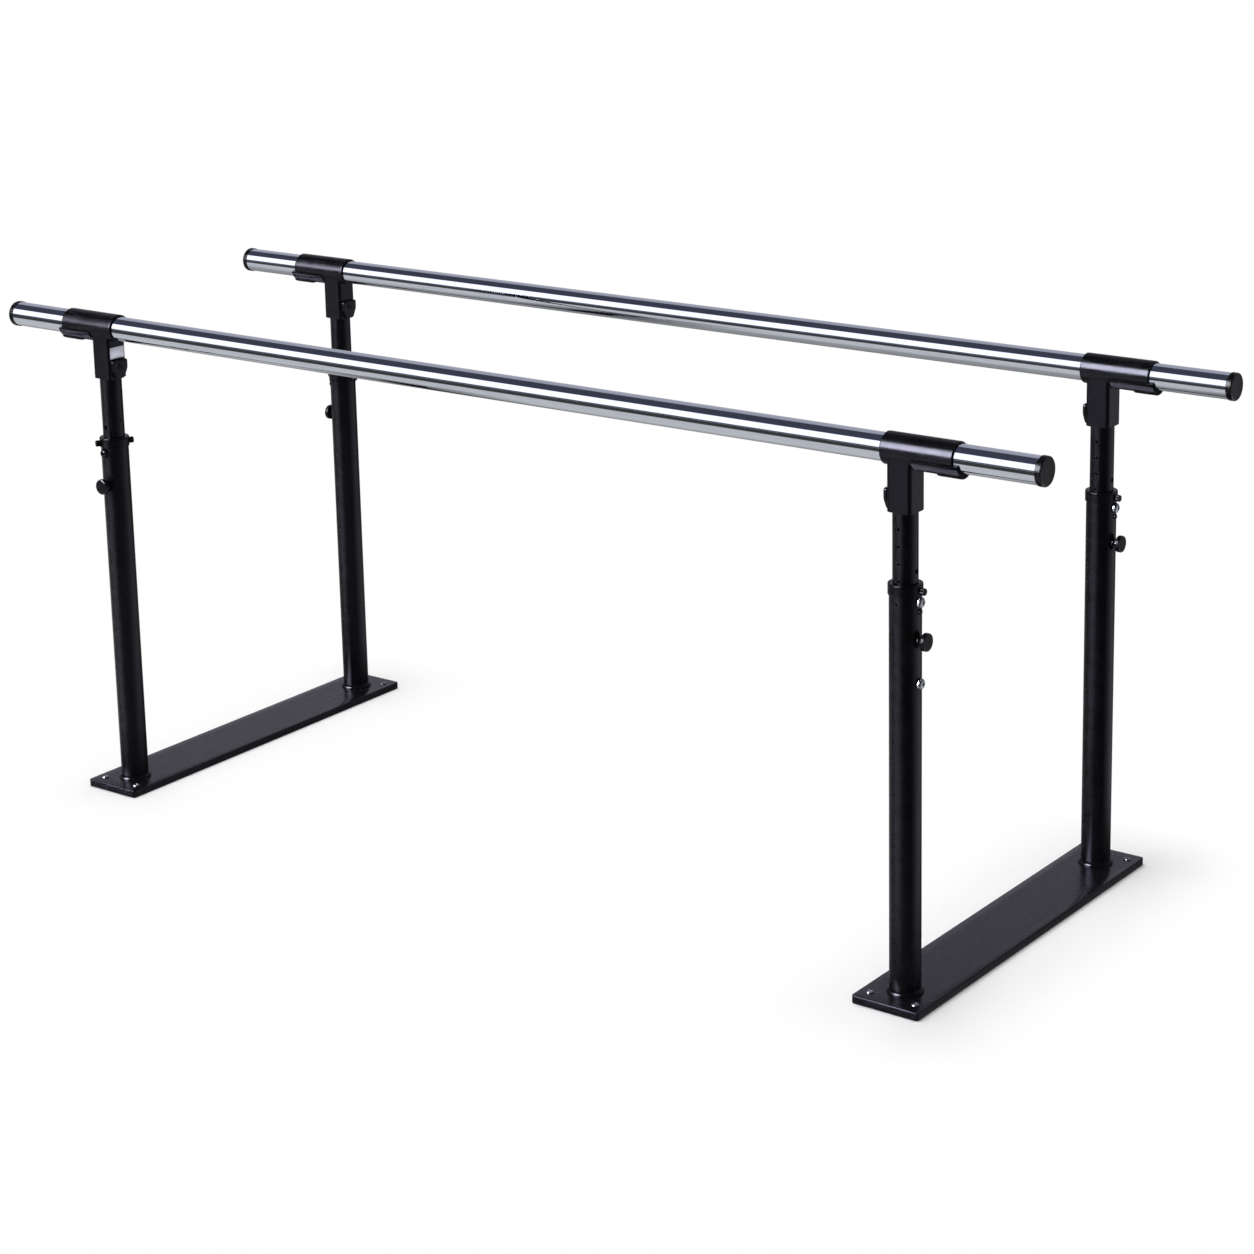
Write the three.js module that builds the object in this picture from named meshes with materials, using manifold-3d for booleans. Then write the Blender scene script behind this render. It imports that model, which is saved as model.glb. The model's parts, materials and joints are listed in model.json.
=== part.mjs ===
// Parallel walking bars for gait training: two chromed handrails on four telescopic posts.
// Millimetres. X runs along the rails, Y across the walkway, Z up, origin on the floor at the centre.
import * as THREE from 'three';
import { mergeVertices } from 'three/addons/utils/BufferGeometryUtils.js';
import Module from 'manifold-3d';

const wasm = await Module();
wasm.setup();

// Driving dimensions of the whole stand
const post_spacing = 1630;
const rail_spacing = 600;
const rail_height = 845;
const rail_overhang = 231;

// Tubes: outside diameters and walls
const rail_diameter = 42.4;
const rail_wall = 2;
const lower_diameter = 48.3;
const lower_wall = 2.6;
const inner_diameter = 38.1;
const inner_wall = 2.6;
const inner_foot_height = 125;

// Clearances
const seat_gap = 0.3;
const slide_clearance = 0.3;
const thread_clearance = 0.4;
const cut_overrun = 5;
const root_depth = 1;

// Base plate
const plate_overhang = 60;
const plate_width = 116;
const plate_thickness = 12.7;
const plate_corner = 5;
const plate_bevel = 1.2;
const floor_screw_end_inset = 24;
const floor_screw_side_inset = 19;

// Foot ring of a lower post, the weld bead that stands round the tube on the plate
const foot_diameter = 57;
const foot_height = 6;
const foot_bevel = 2.5;

// Plunger boss and small rivet on a lower post, measured down from the collar's top
const pin_drop = 85;
const boss_diameter = 15;
const boss_reach = 25.4;
const rivet_drop = 41;
const rivet_diameter = 8;
const rivet_reach = 27.6;

// Collar on top of a lower post
const collar_diameter = 52;
const collar_length = 17;
const collar_lip = 2.4;
const collar_bevel = 1;
const collar_screw_drop = 10;

// Guide bush between the two tubes
const bush_length = 62;

// Height adjustment: rows of holes in an inner post
const exposed_post = 107;
const index_pitch = 26;
const index_steps_down = 4;
const index_steps_up = 6;
const mark_diameter = 4;
const mark_count = 7;
const mark_drop = 24;
const inner_face_mark_row = 2;
const lower_mark_drop = 28;

// Spring plunger that locks a post
const pin_diameter = 7;
const pin_travel = 4;
const pin_tip_bevel = 0.9;
const knob_diameter = 27.4;
const knob_thickness = 8;
const knob_round = 1.6;
const knob_neck_diameter = 11;
const knob_neck_length = 1.4;

// Fasteners
const bolt_below_collar = 1;
const lower_bolt_drop = 150;
const bolt_head_diameter = 17;
const bolt_head_height = 6.2;
const bolt_rim_height = 2.6;
const bolt_shank_diameter = 8;
const bolt_tip_standoff = 0.6;
const thumb_head_diameter = 11;
const thumb_head_length = 7.4;
const thumb_head_bevel = 1;
const thumb_shank_diameter = 5;
const floor_head_diameter = 12;
const floor_head_height = 2;
const floor_head_bevel = 0.9;
const floor_shank_diameter = 6.5;
const floor_shank_standoff = 0.7;

// Rail bracket: saddle round the rail and socket over the post
const bracket_inward = 30;
const bracket_outward = 90;
const saddle_ring_past_socket = 1.5;
const saddle_wall = 3;
const saddle_edge_drop = 7;
const socket_width = 41.5;
const socket_corner = 6;
const socket_drop = 90;
const socket_roof = 5.5;
const socket_merge_drop = 12;
const window_width = 34;
const window_top_drop = 33;
const window_height = 21.4;
const shim_thickness = 1;

// Clamp jaw under the open part of the saddle, with a thicker pad at its outer end
const jaw_run_out = 8;
const jaw_radius = 25;
const jaw_centre_drop = 2.2;
const jaw_pad_length = 37;
const jaw_pad_width = 32;
const jaw_pad_depth = 2.4;

// Clamp lug on the socket: a shield-shaped pad, with the screw that holds the post in it
const lug_drop = 68;
const lug_width = 35;
const lug_top_width = 33;
const lug_foot_width = 18;
const lug_rise = 12;
const lug_fall = 21.5;
const lug_waist_fall = 4;
const lug_thickness = 6;
const lug_bevel = 1;
const lug_screw_head_diameter = 11;
const lug_screw_head_height = 1.8;
const lug_screw_diameter = 6;
const lug_screw_reach_in = 1.4;

// End cap of a rail
const cap_diameter = 44.6;
const cap_head_length = 11;
const cap_round = 2.4;
const cap_dome = 1;
const cap_plug_length = 22;
const cap_plug_bevel = 1.5;

// Facets round a circle
const rail_sides = 28;
const post_sides = 20;
const knob_sides = 14;
const screw_sides = 10;
const hole_sides = 8;
const lug_sides = 12;
const lug_curve_steps = 3;
const corner_steps = 2;

// Sizes that several pieces share
const plate_length = rail_spacing + 2 * plate_overhang;
const collar_height = rail_height - socket_drop - exposed_post;
const rail_radius = rail_diameter / 2;
const lower_radius = lower_diameter / 2;
const lower_bore_radius = lower_radius - lower_wall;
const inner_radius = inner_diameter / 2;
const inner_bore_radius = inner_radius - inner_wall;
const bush_bore_radius = inner_radius + slide_clearance;
const bush_radius = lower_bore_radius - slide_clearance;
const lower_top = collar_height - collar_lip - seat_gap;
const lower_bottom = plate_thickness + seat_gap;
const pin_height = collar_height - pin_drop;
const bolt_drop = collar_length + bolt_below_collar + bolt_head_diameter / 2;
const saddle_ring_end = socket_width / 2 + saddle_ring_past_socket;
const knob_inner_face = boss_reach + pin_travel + thread_clearance;
const rail_length = post_spacing + 2 * (rail_overhang - cap_head_length);
const rail_bore_radius = rail_radius + slide_clearance;
const post_top = rail_height - rail_bore_radius - socket_roof - seat_gap;

// Finishes
const finish = (name, color, roughness, metalness) =>
  new THREE.MeshStandardMaterial({ name, color, roughness, metalness });
const powder_coat = () => finish('powder_coat', 0x1b1b1f, 0.45, 0);
const polished_chrome = () => finish('polished_chrome', 0xc9ccd1, 0.12, 1);
const zinc_plate = () => finish('zinc_plate', 0xb9bcc0, 0.3, 1);
const black_plastic = () => finish('black_plastic', 0x17171a, 0.5, 0);
const cast_black = () => finish('cast_black', 0x1e1e22, 0.4, 0);
const bare_steel = () => finish('bare_steel', 0xc4c4c8, 0.35, 1);

// A closed geometry as a solid that can be joined and cut
function solid(geometry) {
  const bare = geometry.index ? geometry : geometry.clone();
  bare.deleteAttribute('normal');
  bare.deleteAttribute('uv');
  const merged = mergeVertices(bare);
  const mesh = new wasm.Mesh({
    numProp: 3,
    vertProperties: new Float32Array(merged.attributes.position.array),
    triVerts: new Uint32Array(merged.index.array),
  });
  return new wasm.Manifold(mesh);
}

// A joined or cut solid back as a geometry
function geometryOf(body) {
  const mesh = body.getMesh();
  const geometry = new THREE.BufferGeometry();
  geometry.setAttribute('position', new THREE.BufferAttribute(new Float32Array(mesh.vertProperties), 3));
  geometry.setIndex(new THREE.BufferAttribute(new Uint32Array(mesh.triVerts), 1));
  geometry.computeVertexNormals();
  return geometry;
}

// Closed ring or turned piece round Z from points (radius, height)
function turned(points, sides) {
  const outline = points.map(([radius, height]) => new THREE.Vector2(radius, height));
  return new THREE.LatheGeometry(outline, sides).rotateX(Math.PI / 2);
}

// The same piece laid along +X, heights becoming distances along X
function turnedAlongX(points, sides) {
  return turned(points, sides).rotateY(Math.PI / 2);
}

// Plain rod along X between two places, at a height
function rodAlongX(radius, start, end, height, sides) {
  const rod = new THREE.CylinderGeometry(radius, radius, end - start, sides);
  return rod.rotateZ(-Math.PI / 2).translate((start + end) / 2, 0, height);
}

// Plain rod along Y between two places, at a height
function rodAlongY(radius, start, end, height, sides) {
  const rod = new THREE.CylinderGeometry(radius, radius, end - start, sides);
  return rod.translate(0, (start + end) / 2, 0).translate(0, 0, height);
}

// Rectangle with round corners, centred
function roundedRectangle(width, length, corner) {
  const [x, y] = [width / 2, length / 2];
  const shape = new THREE.Shape();
  shape.moveTo(-x + corner, -y);
  shape.lineTo(x - corner, -y);
  shape.absarc(x - corner, -y + corner, corner, -Math.PI / 2, 0);
  shape.lineTo(x, y - corner);
  shape.absarc(x - corner, y - corner, corner, 0, Math.PI / 2);
  shape.lineTo(-x + corner, y);
  shape.absarc(-x + corner, y - corner, corner, Math.PI / 2, Math.PI);
  shape.lineTo(-x, -y + corner);
  shape.absarc(-x + corner, -y + corner, corner, Math.PI, Math.PI * 3 / 2);
  return shape;
}

// Upright prism of a shape between two heights, with bevelled ends where a bevel is given
function prism(shape, bottom, top, bevel, steps) {
  const geometry = new THREE.ExtrudeGeometry(shape, {
    depth: top - bottom - 2 * bevel,
    steps: 1,
    curveSegments: steps,
    bevelEnabled: bevel > 0,
    bevelThickness: bevel,
    bevelSize: bevel,
    bevelOffset: -bevel,
    bevelSegments: 1,
  });
  return geometry.translate(0, 0, bottom + bevel);
}

// Base plate of one end: bevelled slab with four screw holes
function basePlate() {
  const slab = roundedRectangle(plate_width, plate_length, plate_corner);
  let body = solid(prism(slab, 0, plate_thickness, plate_bevel, corner_steps));
  for (const [x, y] of floorScrewPlaces()) {
    const radius = floor_shank_diameter / 2 + thread_clearance;
    const depth = plate_thickness + 2 * cut_overrun;
    const hole = new THREE.CylinderGeometry(radius, radius, depth, hole_sides);
    body = body.subtract(solid(hole.rotateX(Math.PI / 2).translate(x, y, plate_thickness / 2)));
  }
  return geometryOf(body);
}

function floorScrewPlaces() {
  const x = plate_width / 2 - floor_screw_side_inset;
  const y = plate_length / 2 - floor_screw_end_inset;
  return [[-x, -y], [x, -y], [-x, y], [x, y]];
}

// Floor screw: low round head on the plate, shank down its hole
function floorScrew() {
  const head = floor_head_diameter / 2;
  const shank = floor_shank_diameter / 2;
  const seat = plate_thickness + seat_gap;
  return turned([
    [0, floor_shank_standoff],
    [shank, floor_shank_standoff],
    [shank, seat],
    [head, seat],
    [head, seat + floor_head_height - floor_head_bevel],
    [head - floor_head_bevel, seat + floor_head_height],
    [0, seat + floor_head_height],
  ], screw_sides);
}

// Lower post: tube with its foot ring, plunger boss and the holes for what goes through it
function lowerPost({ screwTurns, hasRivet, hasLowerBolt, hasLowerMark }) {
  const foot = foot_diameter / 2;
  let body = solid(turned([
    [lower_bore_radius, lower_bottom],
    [foot, lower_bottom],
    [foot, lower_bottom + foot_height - foot_bevel],
    [foot - foot_bevel, lower_bottom + foot_height],
    [lower_radius, lower_bottom + foot_height],
    [lower_radius, lower_top],
    [lower_bore_radius, lower_top],
    [lower_bore_radius, lower_bottom],
  ], post_sides));
  const root = lower_radius - root_depth;
  body = body.add(solid(rodAlongX(boss_diameter / 2, root, boss_reach, pin_height, lug_sides)));
  if (hasRivet) {
    const height = collar_height - rivet_drop;
    body = body.add(solid(rodAlongX(rivet_diameter / 2, root, rivet_reach, height, hole_sides)));
  }
  const holes = [[pin_drop, pin_diameter, 0], [bolt_drop, bolt_shank_diameter, 0]];
  for (const turn of screwTurns) holes.push([collar_screw_drop, thumb_shank_diameter, turn]);
  if (hasLowerBolt) holes.push([lower_bolt_drop, bolt_shank_diameter, 0]);
  for (const [drop, diameter, turn] of holes) body = body.subtract(sideHole(drop, diameter, turn));
  if (hasLowerMark) {
    const height = collar_height - lower_mark_drop;
    body = body.subtract(solid(rodAlongY(mark_diameter / 2, -boss_reach, 0, height, hole_sides)));
  }
  return geometryOf(body);
}

// Round hole through the side of the outer pieces of a post, towards +X turned round the post by an angle
function sideHole(drop, diameter, turn) {
  const radius = diameter / 2 + thread_clearance;
  const hole = rodAlongX(radius, 0, boss_reach + cut_overrun, collar_height - drop, hole_sides);
  return solid(hole.rotateZ(turn));
}

// Collar: skirt round the tube's end and a lip over it
function postCollar(screwTurns) {
  const outer = collar_diameter / 2;
  const skirt = lower_radius + slide_clearance;
  let body = solid(turned([
    [skirt, collar_height - collar_length],
    [outer, collar_height - collar_length],
    [outer, collar_height - collar_bevel],
    [outer - collar_bevel, collar_height],
    [bush_bore_radius, collar_height],
    [bush_bore_radius, collar_height - collar_lip],
    [skirt, collar_height - collar_lip],
    [skirt, collar_height - collar_length],
  ], post_sides));
  for (const turn of screwTurns) body = body.subtract(sideHole(collar_screw_drop, thumb_shank_diameter, turn));
  return geometryOf(body);
}

// Guide bush: plastic sleeve in the mouth of the lower tube
function guideBush(screwTurns) {
  let body = solid(turned([
    [bush_bore_radius, lower_top - bush_length],
    [bush_radius, lower_top - bush_length],
    [bush_radius, lower_top],
    [bush_bore_radius, lower_top],
    [bush_bore_radius, lower_top - bush_length],
  ], post_sides));
  body = body.subtract(sideHole(bolt_drop, bolt_shank_diameter, 0));
  for (const turn of screwTurns) body = body.subtract(sideHole(collar_screw_drop, thumb_shank_diameter, turn));
  return geometryOf(body);
}

// Round-headed bolt in the side of a lower post
function postBolt() {
  const head = bolt_head_diameter / 2;
  const shank = bolt_shank_diameter / 2;
  const seat = lower_radius + seat_gap;
  const shoulder_share = 0.72;
  const crown_share = 0.8;
  return turnedAlongX([
    [0, bush_bore_radius + bolt_tip_standoff],
    [shank, bush_bore_radius + bolt_tip_standoff],
    [shank, seat],
    [head, seat],
    [head, seat + bolt_rim_height],
    [head * shoulder_share, seat + bolt_head_height * crown_share],
    [0, seat + bolt_head_height],
  ], knob_sides);
}

// Spring plunger: knob, stem and pin in one, drawn back just clear of the inner post
function lockPin() {
  const pin = pin_diameter / 2;
  const knob = knob_diameter / 2;
  const tip = inner_radius + slide_clearance;
  const face = knob_inner_face + knob_neck_length;
  return turnedAlongX([
    [0, tip],
    [pin - pin_tip_bevel, tip],
    [pin, tip + pin_tip_bevel],
    [pin, knob_inner_face],
    [knob_neck_diameter / 2, knob_inner_face],
    [knob_neck_diameter / 2, face],
    [knob - knob_round, face],
    [knob, face + knob_round],
    [knob, face + knob_thickness - knob_round],
    [knob - knob_round, face + knob_thickness],
    [0, face + knob_thickness],
  ], knob_sides);
}

// Thumb screw through a collar, its tip just clear of the inner post
function collarScrew() {
  const head = thumb_head_diameter / 2;
  const shank = thumb_shank_diameter / 2;
  const seat = collar_diameter / 2 + seat_gap;
  return turnedAlongX([
    [0, bush_bore_radius],
    [shank, bush_bore_radius],
    [shank, seat],
    [head, seat],
    [head, seat + thumb_head_length - thumb_head_bevel],
    [head - thumb_head_bevel, seat + thumb_head_length],
    [0, seat + thumb_head_length],
  ], screw_sides);
}

// Inner post: tube with its row of index holes towards the plunger, and small mark holes where the post has them
function innerPost({ hasMarks, hasInnerFaceMark, hardwareTurn }) {
  let body = solid(turned([
    [inner_bore_radius, inner_foot_height],
    [inner_radius, inner_foot_height],
    [inner_radius, post_top],
    [inner_bore_radius, post_top],
    [inner_bore_radius, inner_foot_height],
  ], post_sides));
  const hole = pin_diameter / 2 + thread_clearance;
  const reach = inner_radius + cut_overrun;
  for (let step = -index_steps_down; step <= index_steps_up; step += 1) {
    const height = pin_height - step * index_pitch;
    const index_hole = rodAlongX(hole, 0, reach, height, hole_sides).rotateZ(hardwareTurn);
    body = body.subtract(solid(index_hole));
  }
  const marks = hasMarks ? mark_count : 0;
  for (let row = 0; row < marks; row += 1) {
    const height = rail_height - socket_drop - mark_drop - row * index_pitch;
    body = body.subtract(solid(rodAlongY(mark_diameter / 2, -reach, 0, height, hole_sides)));
  }
  if (hasInnerFaceMark) {
    const height = rail_height - socket_drop - mark_drop - inner_face_mark_row * index_pitch;
    body = body.subtract(solid(rodAlongX(mark_diameter / 2, -reach, 0, height, hole_sides)));
  }
  const screw = lug_screw_diameter / 2 + thread_clearance;
  body = body.subtract(solid(rodAlongX(screw, -reach, 0, rail_height - lug_drop, hole_sides)));
  return geometryOf(body);
}

// Rail bracket: saddle, ringed at the post and open below further out, with the post socket under it
function railBracket({ hasWindow }) {
  const outer = rail_bore_radius + saddle_wall;
  let body = solid(rodAlongX(outer, -bracket_inward, bracket_outward, rail_height, rail_sides));
  const opening = new THREE.BoxGeometry(bracket_outward - saddle_ring_end + cut_overrun, 2 * outer + cut_overrun, outer);
  const opening_x = (saddle_ring_end + bracket_outward + cut_overrun) / 2;
  opening.translate(opening_x, 0, rail_height - saddle_edge_drop - outer / 2);
  body = body.subtract(solid(opening));
  const post = roundedRectangle(socket_width, socket_width, socket_corner);
  const bottom = rail_height - socket_drop;
  body = body.add(solid(prism(post, bottom, rail_height - socket_merge_drop, 0, corner_steps)));
  const rail_ends = [-bracket_inward - cut_overrun, bracket_outward + cut_overrun];
  body = body.subtract(solid(rodAlongX(rail_bore_radius, ...rail_ends, rail_height, rail_sides)));
  const bore_bottom = bottom - cut_overrun;
  const bore_top = post_top + seat_gap;
  const bore = new THREE.CylinderGeometry(bush_bore_radius, bush_bore_radius, bore_top - bore_bottom, post_sides);
  body = body.subtract(solid(bore.rotateX(Math.PI / 2).translate(0, 0, (bore_top + bore_bottom) / 2)));
  const screw = lug_screw_diameter / 2 + thread_clearance;
  const reach = socket_width / 2 + cut_overrun;
  body = body.subtract(solid(rodAlongX(screw, -reach, 0, rail_height - lug_drop, hole_sides)));
  if (hasWindow) {
    const window = new THREE.BoxGeometry(reach, window_width, window_height);
    window.translate(-reach / 2, 0, rail_height - window_top_drop - window_height / 2);
    body = body.subtract(solid(window));
  }
  return geometryOf(body);
}

// Shim: flat strip of bare steel against the post, seen in the window of the socket
function socketShim() {
  const width = window_width - 2 * seat_gap;
  const height = window_height - 2 * seat_gap;
  const strip = new THREE.BoxGeometry(shim_thickness, width, height);
  const x = -inner_radius - slide_clearance - shim_thickness / 2;
  return strip.translate(x, 0, rail_height - window_top_drop - window_height / 2);
}

// Clamp jaw: thick shell under the rail that closes the open part of the saddle
function clampJaw() {
  const start = saddle_ring_end + seat_gap;
  const end = bracket_outward + jaw_run_out;
  const top = rail_height - saddle_edge_drop - seat_gap;
  const centre = rail_height - jaw_centre_drop;
  let body = solid(rodAlongX(jaw_radius, start, end, centre, rail_sides));
  const pad = solid(rodAlongX(jaw_radius + jaw_pad_depth, end - jaw_pad_length, end, centre, rail_sides));
  const pad_stretch = new THREE.BoxGeometry(jaw_pad_length, jaw_pad_width, 2 * jaw_radius);
  pad_stretch.translate(end - jaw_pad_length / 2, 0, centre - jaw_radius);
  body = body.add(pad.intersect(solid(pad_stretch)));
  body = body.subtract(solid(rodAlongX(rail_bore_radius, start - cut_overrun, end + cut_overrun, rail_height, rail_sides)));
  const above = new THREE.BoxGeometry(end - start + 2 * cut_overrun, 3 * jaw_radius, 2 * jaw_radius);
  return geometryOf(body.subtract(solid(above.translate((start + end) / 2, 0, top + jaw_radius))));
}

// Shield outline round the lug's screw: straight top, sides that widen to the waist, then a narrow foot
function shieldOutline() {
  const [waist, top, foot] = [lug_width / 2, lug_top_width / 2, lug_foot_width / 2];
  const shape = new THREE.Shape();
  shape.moveTo(-foot, -lug_fall);
  shape.lineTo(foot, -lug_fall);
  shape.quadraticCurveTo(waist, -lug_fall * foot / top, waist, -lug_waist_fall);
  shape.lineTo(top, lug_rise);
  shape.lineTo(-top, lug_rise);
  shape.lineTo(-waist, -lug_waist_fall);
  shape.quadraticCurveTo(-waist, -lug_fall * foot / top, -foot, -lug_fall);
  return shape;
}

// Clamp lug: pad on the inner face of the socket with its screw
function clampLug() {
  const pad = prism(shieldOutline(), 0, lug_thickness, lug_bevel, lug_curve_steps);
  const face = -socket_width / 2 - seat_gap;
  pad.rotateZ(-Math.PI / 2).rotateY(-Math.PI / 2).translate(face, 0, rail_height - lug_drop);
  let body = solid(pad);
  const height = rail_height - lug_drop;
  const head_end = face - lug_thickness - lug_screw_head_height;
  body = body.add(solid(rodAlongX(lug_screw_head_diameter / 2, head_end, face - root_depth, height, screw_sides)));
  const tip = -inner_bore_radius + lug_screw_reach_in;
  body = body.add(solid(rodAlongX(lug_screw_diameter / 2, face - root_depth, tip, height, screw_sides)));
  return geometryOf(body);
}

// Handrail tube
function handrail() {
  const half = rail_length / 2;
  const bore = rail_radius - rail_wall;
  return turnedAlongX([[bore, -half], [rail_radius, -half], [rail_radius, half], [bore, half], [bore, -half]], rail_sides);
}

// End cap: domed head against the rail's end and a plug inside the tube
function endCap() {
  const head = cap_diameter / 2;
  const plug = rail_radius - rail_wall - slide_clearance;
  const face_share = 0.55;
  return turnedAlongX([
    [0, -cap_plug_length],
    [plug - cap_plug_bevel, -cap_plug_length],
    [plug, -cap_plug_length + cap_plug_bevel],
    [plug, seat_gap],
    [head, seat_gap],
    [head, cap_head_length - cap_round - cap_dome],
    [head - cap_round, cap_head_length - cap_dome],
    [head * face_share, cap_head_length - cap_dome / 4],
    [0, cap_head_length],
  ], post_sides);
}

const stand = new THREE.Group();

function place(parent, name, geometry, material, x, y, z) {
  const mesh = new THREE.Mesh(geometry, material);
  mesh.name = name;
  mesh.position.set(x, y, z);
  parent.add(mesh);
}

// The four posts: outward is +X in each post's own group, so the left-hand ones are turned half round.
// The lower tube of the near left post and what it carries is turned on by a quarter, to face the near side,
// and its collar with the two screws stands a little round from there.
const near_left = {
  name: 'near_left', end: -1, side: -1, hardwareTurn: Math.PI / 2, screwTurns: [-Math.PI / 6, Math.PI * 5 / 6],
  hasWindow: true, hasInnerFaceMark: true,
};
const near_right = {
  name: 'near_right', end: 1, side: -1, hardwareTurn: 0, screwTurns: [0], hasMarks: true, hasRivet: true,
  hasLowerBolt: true, hasLowerMark: true,
};
const far_left = { name: 'far_left', end: -1, side: 1, hardwareTurn: 0, screwTurns: [0, Math.PI] };
const far_right = {
  name: 'far_right', end: 1, side: 1, hardwareTurn: 0, screwTurns: [0], hasMarks: true, hasRivet: true,
};
const posts = [near_left, near_right, far_left, far_right];

for (const post of posts) {
  const corner = new THREE.Group();
  corner.position.set(post.end * post_spacing / 2, post.side * rail_spacing / 2, 0);
  corner.rotation.z = post.end < 0 ? Math.PI : 0;
  stand.add(corner);
  const hardware = new THREE.Group();
  hardware.rotation.z = post.hardwareTurn;
  corner.add(hardware);
  const fix = (name, geometry, material, z) => place(hardware, `${name}_${post.name}`, geometry, material, 0, 0, z);
  fix('lower_post', lowerPost(post), powder_coat(), 0);
  fix('post_collar', postCollar(post.screwTurns), powder_coat(), 0);
  fix('guide_bush', guideBush(post.screwTurns), black_plastic(), 0);
  fix('post_bolt', postBolt(), zinc_plate(), collar_height - bolt_drop);
  if (post.hasLowerBolt) fix('lower_bolt', postBolt(), zinc_plate(), collar_height - lower_bolt_drop);
  fix('lock_pin', lockPin(), zinc_plate(), pin_height);
  post.screwTurns.forEach((turn, index) => {
    const seat = new THREE.Group();
    seat.position.z = collar_height - collar_screw_drop;
    seat.rotation.z = turn;
    hardware.add(seat);
    const name = `collar_screw_${index ? 'inner' : 'outer'}_${post.name}`;
    place(seat, name, collarScrew(), black_plastic(), 0, 0, 0);
  });
  const add = (name, geometry, material) => place(corner, `${name}_${post.name}`, geometry, material, 0, 0, 0);
  add('inner_post', innerPost(post), powder_coat());
  add('rail_bracket', railBracket(post), cast_black());
  if (post.hasWindow) add('socket_shim', socketShim(), bare_steel());
  add('clamp_jaw', clampJaw(), cast_black());
  add('clamp_lug', clampLug(), cast_black());
}

// Two base plates with four floor screws each
for (const [end_name, end] of [['left', -1], ['right', 1]]) {
  const foot = new THREE.Group();
  foot.position.x = end * post_spacing / 2;
  stand.add(foot);
  place(foot, `base_plate_${end_name}`, basePlate(), powder_coat(), 0, 0, 0);
  floorScrewPlaces().forEach(([x, y], index) => {
    place(foot, `floor_screw_${end_name}_${index + 1}`, floorScrew(), zinc_plate(), x, y, 0);
  });
}

// Two handrails with a cap at each end
for (const [side_name, side] of [['near', -1], ['far', 1]]) {
  const line = new THREE.Group();
  line.position.set(0, side * rail_spacing / 2, rail_height);
  stand.add(line);
  place(line, `handrail_${side_name}`, handrail(), polished_chrome(), 0, 0, 0);
  for (const [end_name, end] of [['left', -1], ['right', 1]]) {
    const tip = new THREE.Group();
    tip.position.x = end * rail_length / 2;
    tip.rotation.z = end < 0 ? Math.PI : 0;
    line.add(tip);
    place(tip, `end_cap_${side_name}_${end_name}`, endCap(), black_plastic(), 0, 0, 0);
  }
}

export default stand;
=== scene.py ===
"""Parallel walking bars: chromed handrails on four black telescopic posts, in a white studio."""

import json
import math
from collections import namedtuple

import bpy
from mathutils import Matrix, Vector


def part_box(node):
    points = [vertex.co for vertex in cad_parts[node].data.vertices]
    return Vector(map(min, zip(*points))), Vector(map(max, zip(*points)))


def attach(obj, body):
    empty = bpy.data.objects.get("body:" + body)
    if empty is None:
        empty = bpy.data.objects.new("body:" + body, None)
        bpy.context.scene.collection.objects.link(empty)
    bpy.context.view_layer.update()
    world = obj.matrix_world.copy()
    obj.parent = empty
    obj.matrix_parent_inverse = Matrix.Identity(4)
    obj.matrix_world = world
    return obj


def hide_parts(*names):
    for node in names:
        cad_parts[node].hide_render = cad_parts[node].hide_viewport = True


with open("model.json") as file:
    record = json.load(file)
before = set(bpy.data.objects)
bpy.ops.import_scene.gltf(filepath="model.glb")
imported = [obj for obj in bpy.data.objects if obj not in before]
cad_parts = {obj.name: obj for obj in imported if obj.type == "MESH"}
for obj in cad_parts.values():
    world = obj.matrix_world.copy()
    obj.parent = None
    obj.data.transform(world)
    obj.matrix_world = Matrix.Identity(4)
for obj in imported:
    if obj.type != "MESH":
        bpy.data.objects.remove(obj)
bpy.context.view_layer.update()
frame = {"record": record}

MM = 0.001


def middle_height(node):
    return sum(corner.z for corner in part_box(node)) / 2


# Places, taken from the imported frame
RAIL_LOW, RAIL_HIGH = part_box("handrail_near")
RAIL_RADIUS = (RAIL_HIGH.z - RAIL_LOW.z) / 2
RAIL_HEIGHT = (RAIL_HIGH.z + RAIL_LOW.z) / 2
RAIL_HALF = (RAIL_HIGH.x - RAIL_LOW.x) / 2
POST_LOW, POST_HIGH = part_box("inner_post_near_right")
INNER_RADIUS = (POST_HIGH.y - POST_LOW.y) / 2
POST_X = (POST_HIGH.x + POST_LOW.x) / 2
POST_Y = -(POST_HIGH.y + POST_LOW.y) / 2
COLLAR_LOW, COLLAR_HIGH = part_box("post_collar_near_right")
LOWER_LOW, LOWER_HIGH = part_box("lower_post_near_right")
PLATE_LOW, PLATE_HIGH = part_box("base_plate_right")
PLATE_SIZE = PLATE_HIGH - PLATE_LOW
PIN_HEIGHT = middle_height("lock_pin_near_right")
BOLT_HEIGHT = middle_height("post_bolt_near_right")
LOWER_BOLT_HEIGHT = middle_height("lower_bolt_near_right")
SCREW_HEIGHT = middle_height("collar_screw_outer_near_right")

# Tubes, and the gap between pieces that slide or fit in one another
SLIDE_GAP = 0.3 * MM
LOWER_RADIUS = 24.15 * MM
LOWER_BORE = 21.55 * MM
INNER_BORE = INNER_RADIUS - 2.6 * MM
RAIL_BORE = RAIL_RADIUS - 2 * MM
TUBE_EDGE = 0.4 * MM
TUBE_SIDES = 96

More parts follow.
